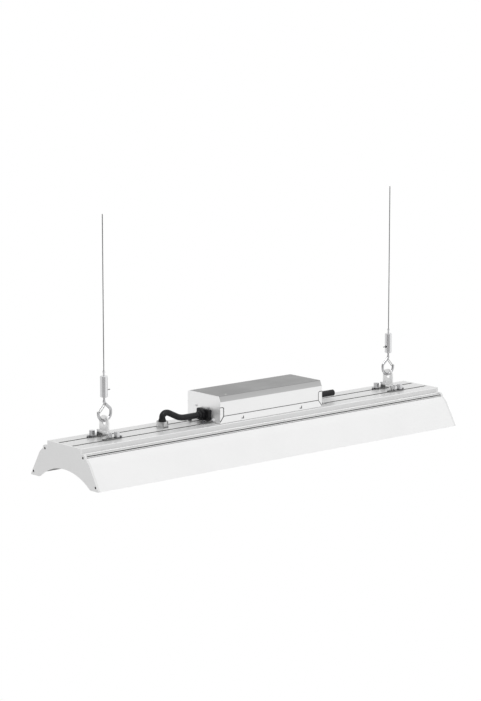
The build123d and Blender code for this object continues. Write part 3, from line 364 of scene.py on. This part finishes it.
def wing_shade():
    """Wings: white outside, with painted shade inside, darker still inside the lip and the tip."""
    slant = 0.6
    inside_out = 0.1322
    plain_top_z = 0.0560
    tip_top_z = 0.0110
    lip_heights = (0.0640, 0.0716)
    lip_y = 0.0815
    s = powder_coat("wing_powder_coat", grey(0.80), drawn=True)
    aside = s.math("ABSOLUTE", s.axis("Y"))
    height = s.axis("Z")
    # How far out a place lies, taken with the wing's slant so that it is even on the outer face
    out = s.math("ADD", aside, s.math("MULTIPLY", height, slant))
    inside = s.short_of(out, inside_out, 0.0006)
    low_inside = s.both(inside, s.short_of(height, plain_top_z, 0.0010))
    inside_lip = s.both(s.within(height, *lip_heights), s.short_of(aside, lip_y))
    tip = s.both(inside, s.short_of(height, tip_top_z, 0.0010))
    # Painted shade on the lower inside faces
    coat = s.mix(low_inside, s.cloudy(grey(0.785), grey(0.80)), grey(0.45))
    # Darker painted shade inside the lip and along the tip
    s.tint(s.mix(s.either(inside_lip, tip), coat, grey(0.16)))
    return s


def bracket_shade():
    """Bracket: bright pressed steel, with painted shade under its raised middle and all over its flat feet.
    """
    under_heights = (0.0970, 0.1074)
    under_half_width = 0.0186
    feet_z = 0.0966
    s = metal("pressed_zinc", grey(0.90), 0.42)
    height = s.axis("Z")
    # Painted shade under the raised middle and on the flat feet
    under = s.both(s.within(height, *under_heights),
                   s.short_of(s.math("ABSOLUTE", s.axis("Y")), under_half_width))
    feet = s.math("MULTIPLY", s.short_of(height, feet_z, 0.0003), 0.9)
    s.tint(s.mix(s.either(under, feet), s.cloudy(grey(0.80), grey(0.90), 120, 0.7), grey(0.16)))
    return s


def cover_top(s, along, across, height):
    """Colour of the cover's facet and top: painted shade, the facet mid grey and the top darker, faintly
    brushed, with one pale rivet.
    """
    rivet_place = (-0.126, -0.040)
    rivet_r = 0.0023
    rivet_z = BOX_TOP - 0.0005
    # Painted shade: the facet and the top darker than the sides, the top darkest
    top = s.ramp(s.map_range(height, BOX_FACET_Z, BOX_TOP + 0.0002),
                 (0.0, 0.87), (0.03, 0.47), (0.90, 0.43), (0.97, 0.185))
    brushed = s.noise(50, 4, (0.4, 60, 60))
    top = s.mix(s.map_range(brushed, 0.3, 0.7, 0.0, 0.10), top, grey(0.5))
    rivet = s.short_of(s.away(along, rivet_place[0], across, rivet_place[1]), rivet_r, 0.0003)
    return s.mix(s.both(rivet, s.beyond(height, rivet_z, 0.0003)), top, grey(0.78))


def lanced_slits(s, along, across, height):
    """One on and close round the two lanced slits of the front, each an L, where painted shade goes."""
    front_y = -0.0585
    slit_half = 0.0012
    level_reach = 0.0064
    upright_heights = (0.0990, 0.1062)
    level_heights = (0.0993, 0.1017)
    slits = 0.0
    for x in LANCE_PLACES:
        upright = s.both(s.within(along, x - slit_half, x + slit_half), s.within(height, *upright_heights))
        level = s.both(s.within(along, x - level_reach, x + slit_half), s.within(height, *level_heights))
        slits = s.either(slits, s.either(upright, level))
    return s.both(slits, s.short_of(across, front_y, 0.0005))


def open_joints(s, along, across, height):
    """One on and beside the open joints of the box, its seam and the edges of its tabs, where painted shade
    goes.

    The joint of a left tab is drawn 1.5 mm further out than it is, on the tab itself.
    """
    front_y = -0.0592
    back_y = 0.0640
    seam_ends = (-0.1495, 0.1695)
    tab_ends = ((-0.1625, 1), (0.1825, -1))
    corner_z = 0.1325
    foot_z = 0.0977
    margin = 0.00035
    half = BOX_GAP / 2 + margin
    seam_z = BOX_SEAM_Z + BOX_GAP / 2
    top_z = TAB_TOP + BOX_GAP / 2
    joints = s.stroke(along, height, (seam_ends[0], seam_z), (seam_ends[1], seam_z), half)
    for end_x, turn in tab_ends:
        inner_x = end_x + turn * (TAB_WIDTH + BOX_GAP / 2)
        corner_x = inner_x - turn * TAB_CORNER
        for start, end in (((inner_x, BOX_SEAM_Z), (inner_x, corner_z)),
                           ((inner_x, BOX_SEAM_Z), (end_x, foot_z)),
                           ((corner_x, top_z), (end_x, top_z)),
                           ((inner_x, corner_z), (corner_x, top_z))):
            joints = s.either(joints, s.stroke(along, height, start, end, half))
    on_face = s.either(s.short_of(across, front_y), s.beyond(across, back_y))
    return s.both(joints, on_face)


def box_shade():
    """Box sheet: white sides and ends, grey feet, with painted shade on the top, a little on the front, and
    at the joints, slits and inside.
    """
    feet_z = 0.0952
    front_y = -0.0596
    cover_ends = (-0.1598, 0.1813)
    inside_x = (-0.16090, 0.18240)
    inside_y = (-0.05990, 0.06490)
    inside_z = (0.09560, 0.14850)
    s = powder_coat("box_sheet", grey(0.90), 0.34, metallic=0.75, peel=0.000015)
    along = s.axis("X")
    across = s.axis("Y")
    height = s.axis("Z")
    # Painted shade: the front a little darker than the ends and back
    sheet = s.mix(s.beyond(across, front_y), grey(0.87), grey(0.97))
    on_cover = s.both(s.within(along, *cover_ends), s.beyond(height, BOX_FACET_Z - 0.0002))
    outside = s.mix(on_cover, sheet, cover_top(s, along, across, height))
    outside = s.mix(s.short_of(height, feet_z), outside, grey(0.50))
    # Painted shade on and close round the slits and the open joints
    outside = s.mix(lanced_slits(s, along, across, height), outside, grey(0.12))
    outside = s.mix(open_joints(s, along, across, height), outside, grey(0.06))
    # Painted shade on the inside of the sheet, so the open joints read dark
    shaded_inside = s.both(s.within(across, *inside_y, 0.00005), s.within(height, *inside_z, 0.0002))
    shaded_inside = s.both(shaded_inside, s.within(along, *inside_x, 0.00005))
    s.tint(s.mix(shaded_inside, outside, grey(0.10)))
    return s


def board_shade():
    """Boards: white mask, with a yellow phosphor window in each light package below it."""
    mask = (0.84, 0.84, 0.82)
    mask_z = 0.04975
    s = moulded("board_mask", mask, 0.4, 900, 0.00002, 0.5)
    s.tint(s.mix(s.beyond(s.axis("Z"), mask_z, 0.00005), (0.80, 0.58, 0.12), mask))
    return s


def lens_shade():
    """Lens: lightly frosted clear plastic."""
    s = Shade("clear_lens", (0.95, 0.96, 0.97), 0.30, inputs={"Transmission Weight": 0.85, "IOR": 1.49})
    s.vary_rough(s.noise(20, 2), 0.26, 0.34)
    return s


shades["body_white"] = body_shade()
shades["screw_steel"] = screw_shade()
shades["gland_metal"] = gland_shade()
shades["gripper_nickel"] = gripper_shade()
shades["wing_white"] = wing_shade()
shades["bracket_steel"] = bracket_shade()
shades["box_white"] = box_shade()
shades["board_white"] = board_shade()
shades["lens_clear"] = lens_shade()

slot_of = {part["node"]: part["material_slot"] for part in frame["record"]["subparts"]}
for name, node in nodes.items():
    node.data.materials.clear()
    node.data.materials.append(shades[slot_of[name]].mat)


def mesh_object(name, verts, faces, mat, smooth=True):
    """A new mesh piece in the row's frame."""
    mesh = bpy.data.meshes.new(name)
    mesh.from_pydata(verts, [], faces)
    mesh.validate()
    for polygon in mesh.polygons:
        polygon.use_smooth = smooth
    mesh.materials.append(mat)
    piece = bpy.data.objects.new(name, mesh)
    scene.collection.objects.link(piece)
    return piece


def tube(points, radius, sides, verts, faces):
    """Add a round tube along points to the lists of vertices and faces, closed at both ends."""
    start = len(verts)
    across = None
    for i, p in enumerate(points):
        ahead = points[min(i + 1, len(points) - 1)]
        behind = points[max(i - 1, 0)]
        along = (ahead - behind).normalized()
        across = along.orthogonal() if across is None else across - along * across.dot(along)
        across.normalize()
        other = along.cross(across)
        for k in range(sides):
            turn = 2 * pi * k / sides
            verts.append(p + (across * cos(turn) + other * sin(turn)) * radius)
    for i in range(len(points) - 1):
        for k in range(sides):
            a = start + i * sides + k
            b = start + i * sides + (k + 1) % sides
            faces.append((a, b, b + sides, a + sides))
    faces.append([start + k for k in reversed(range(sides))])
    faces.append([start + (len(points) - 1) * sides + k for k in range(sides)])


def spline_points(route, count):
    """Points along the smooth spline that has the route as its control points."""
    curve = bpy.data.curves.new("route", "CURVE")
    curve.dimensions = "3D"
    spline = curve.splines.new("NURBS")
    spline.points.add(len(route) - 1)
    for point, place in zip(spline.points, route):
        point.co = (*place, 1)
    spline.order_u = 3
    spline.use_endpoint_u = True
    spline.resolution_u = count
    holder = bpy.data.objects.new("route", curve)
    line = bpy.data.meshes.new_from_object(holder)
    points = [v.co.copy() for v in line.vertices]
    bpy.data.objects.remove(holder)
    bpy.data.meshes.remove(line)
    return points


# Wire ropes of six strands round a core, along the route's own spline
for side, x in (("left", -ROPE_X), ("right", ROPE_X)):
    route = [(x, 0, ROPE_Z0), (x, 0, (ROPE_Z0 + ROPE_Z1) / 2), (x, 0, ROPE_Z1)]
    line = spline_points(route, ROPE_STEPS)
    verts = []
    faces = []
    tube(line, ROPE_CORE_R, STRAND_SIDES, verts, faces)
    for k in range(STRANDS):
        strand = []
        for p in line:
            turn = 2 * pi * (k / STRANDS + (p.z - ROPE_Z0) / STRAND_PITCH)
            strand.append(p + Vector((cos(turn), sin(turn), 0)) * (ROPE_R - STRAND_R))
        tube(strand, STRAND_R, STRAND_SIDES, verts, faces)
    # Where the strands' slanted ends pass the rope's own ends, they are brought level with them
    verts = [Vector((v.x, v.y, min(max(v.z, ROPE_Z0), ROPE_Z1))) for v in verts]
    rope = mesh_object(f"stranded_rope_{side}", verts, faces, shades["rope_steel"].mat)
    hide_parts(f"wire_rope_{side}")
    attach(rope, f"hook_{side}")

# Springs in the grippers, which shorten as the nozzles are pressed in
SPRING_R = 0.0032
SPRING_WIRE_R = 0.00045
SPRING_WIRE_SIDES = 8
SPRING_Z0 = 0.22455
SPRING_HEIGHT = 0.0113
SPRING_TURNS = 5
SPRING_STEPS = 28
for side, x in (("left", -ROPE_X), ("right", ROPE_X)):
    coil = []
    for i in range(SPRING_TURNS * SPRING_STEPS + 1):
        turn = 2 * pi * i / SPRING_STEPS
        rise = SPRING_HEIGHT * i / (SPRING_TURNS * SPRING_STEPS)
        coil.append(Vector((x + SPRING_R * cos(turn), SPRING_R * sin(turn), SPRING_Z0 + rise)))
    verts = []
    faces = []
    tube(coil, SPRING_WIRE_R, SPRING_WIRE_SIDES, verts, faces)
    spring = mesh_object(f"nozzle_spring_{side}", verts, faces, shades["spring_steel"].mat)
    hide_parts(f"grip_spring_{side}")
    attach(spring, f"hook_{side}")
    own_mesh(spring)

# Floor well below the light, as under one that hangs, plain white to the camera
floor_mat = bpy.data.materials.new("floor_white")
floor_mat.use_nodes = True
tree = floor_mat.node_tree
floor_bsdf = tree.nodes["Principled BSDF"]
floor_bsdf.inputs["Base Color"].default_value = (0.8, 0.8, 0.8, 1)
floor_bsdf.inputs["Roughness"].default_value = 0.9


def seen_as_white(tree, surface, output):
    """Show plain white to the camera and in reflections, and the given shader to the light."""
    path = tree.nodes.new("ShaderNodeLightPath")
    glow = tree.nodes.new("ShaderNodeEmission")
    glow.inputs["Color"].default_value = (1, 1, 1, 1)
    glow.inputs["Strength"].default_value = 1.0
    first = tree.nodes.new("ShaderNodeMath")
    first.operation = "MAXIMUM"
    tree.links.new(path.outputs["Is Camera Ray"], first.inputs[0])
    tree.links.new(path.outputs["Is Glossy Ray"], first.inputs[1])
    second = tree.nodes.new("ShaderNodeMath")
    second.operation = "MAXIMUM"
    tree.links.new(first.outputs[0], second.inputs[0])
    tree.links.new(path.outputs["Is Transmission Ray"], second.inputs[1])
    chosen = tree.nodes.new("ShaderNodeMixShader")
    tree.links.new(second.outputs[0], chosen.inputs["Fac"])
    tree.links.new(surface, chosen.inputs[1])
    tree.links.new(glow.outputs["Emission"], chosen.inputs[2])
    tree.links.new(chosen.outputs["Shader"], output)


seen_as_white(tree, floor_bsdf.outputs["BSDF"], tree.nodes["Material Output"].inputs["Surface"])
FLOOR_Z = -7.0
FLOOR_HALF = 25.0
corners = [(sx * FLOOR_HALF, sy * FLOOR_HALF, FLOOR_Z) for sx, sy in ((-1, -1), (1, -1), (1, 1), (-1, 1))]
floor = mesh_object("floor", corners, [(0, 1, 2, 3)], floor_mat, smooth=False)

# Soft even light from all round, white to the camera
world = bpy.data.worlds.new("studio")
world.use_nodes = True
scene.world = world
tree = world.node_tree
SKY_LEVEL = 0.75
BEHIND_CAMERA = (-0.6555, -0.7552, 0.0)
TO_THE_RIGHT = (0.7552, -0.6555, 0.0)


def world_node(kind, **sockets):
    """A node of the world, with its sockets set by name or linked."""
    node = tree.nodes.new(kind)
    for key, value in sockets.items():
        socket = node.inputs[key.replace("_", " ")]
        if isinstance(value, bpy.types.NodeSocket):
            tree.links.new(value, socket)
        else:
            socket.default_value = value
    return node


def towards(vector, low, high, to_low, to_high):
    """A value that follows how far a direction lies towards the vector."""
    dot = tree.nodes.new("ShaderNodeVectorMath")
    dot.operation = "DOT_PRODUCT"
    tree.links.new(tree.nodes.new("ShaderNodeTexCoord").outputs["Generated"], dot.inputs[0])
    dot.inputs[1].default_value = vector
    spread = tree.nodes.new("ShaderNodeMapRange")
    spread.interpolation_type = "SMOOTHSTEP"
    for key, number in (("From Min", low), ("From Max", high), ("To Min", to_low), ("To Max", to_high)):
        spread.inputs[key].default_value = number
    tree.links.new(dot.outputs["Value"], spread.inputs["Value"])
    return spread.outputs["Result"]


# In reflections the room is dim behind the camera and bright to the right
shade = tree.nodes.new("ShaderNodeMath")
shade.operation = "MULTIPLY"
tree.links.new(towards(BEHIND_CAMERA, 0.45, 0.92, 1.0, 0.42), shade.inputs[0])
tree.links.new(towards(TO_THE_RIGHT, -0.7, 0.6, 0.78, 1.0), shade.inputs[1])
path = tree.nodes.new("ShaderNodeLightPath")
sky = tree.nodes["Background"]
sky.inputs["Color"].default_value = (1, 1, 1, 1)
sky.inputs["Strength"].default_value = SKY_LEVEL
room = world_node("ShaderNodeBackground", Color=(1, 1, 1, 1), Strength=shade.outputs["Value"])
white = world_node("ShaderNodeBackground", Color=(1, 1, 1, 1), Strength=1.0)
mirrored = tree.nodes.new("ShaderNodeMixShader")
chosen = tree.nodes.new("ShaderNodeMixShader")
for mixer, ray, first, second in ((mirrored, "Is Glossy Ray", sky, room),
                                  (chosen, "Is Camera Ray", mirrored, white)):
    tree.links.new(path.outputs[ray], mixer.inputs["Fac"])
    tree.links.new(first.outputs[0], mixer.inputs[1])
    tree.links.new(second.outputs[0], mixer.inputs[2])
tree.links.new(chosen.outputs["Shader"], tree.nodes["World Output"].inputs["Surface"])

# One soft distant lamp from above the camera's left
data = bpy.data.lights.new("front_lamp", "SUN")
data.energy = 1.18
data.angle = radians(20)
lamp = bpy.data.objects.new("front_lamp", data)
scene.collection.objects.link(lamp)
lamp.rotation_euler = Vector((0.293, 0.56, -0.773)).to_track_quat("-Z", "Y").to_euler()
